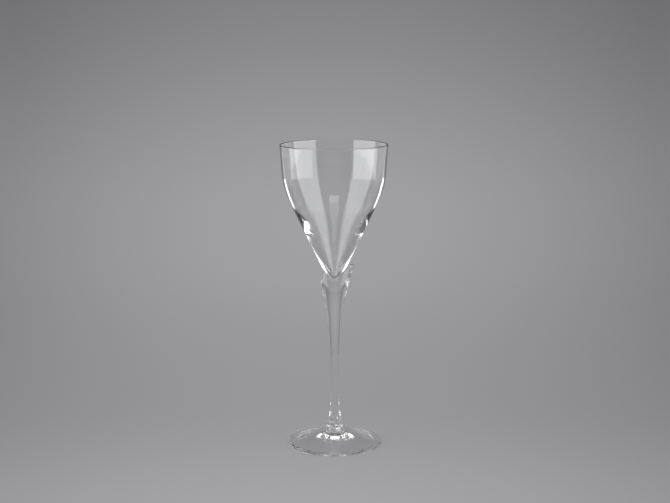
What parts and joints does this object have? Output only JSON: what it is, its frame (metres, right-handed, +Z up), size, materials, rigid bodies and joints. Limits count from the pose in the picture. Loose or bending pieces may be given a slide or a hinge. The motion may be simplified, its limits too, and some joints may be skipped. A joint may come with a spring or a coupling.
{
  "type": "wine glass",
  "caption": "Tall clear crystal red wine glass with a pointed cone bowl held by a leaf calyx, a drawn stem, a bead merese and a round foot",
  "frame": {"origin": "on the table under the middle of the foot", "axes": "+Z up along the stem, +X towards the open leaf of the calyx, -Y towards the viewer"},
  "size_m": [0.079, 0.079, 0.225],
  "materials": {
    "crystal": "clear polished lead crystal"
  },
  "bodies": {
    "root": {"foot": "crystal", "merese": "crystal", "stem": "crystal", "calyx": "crystal", "bowl": "crystal"}
  },
  "joints": []
}
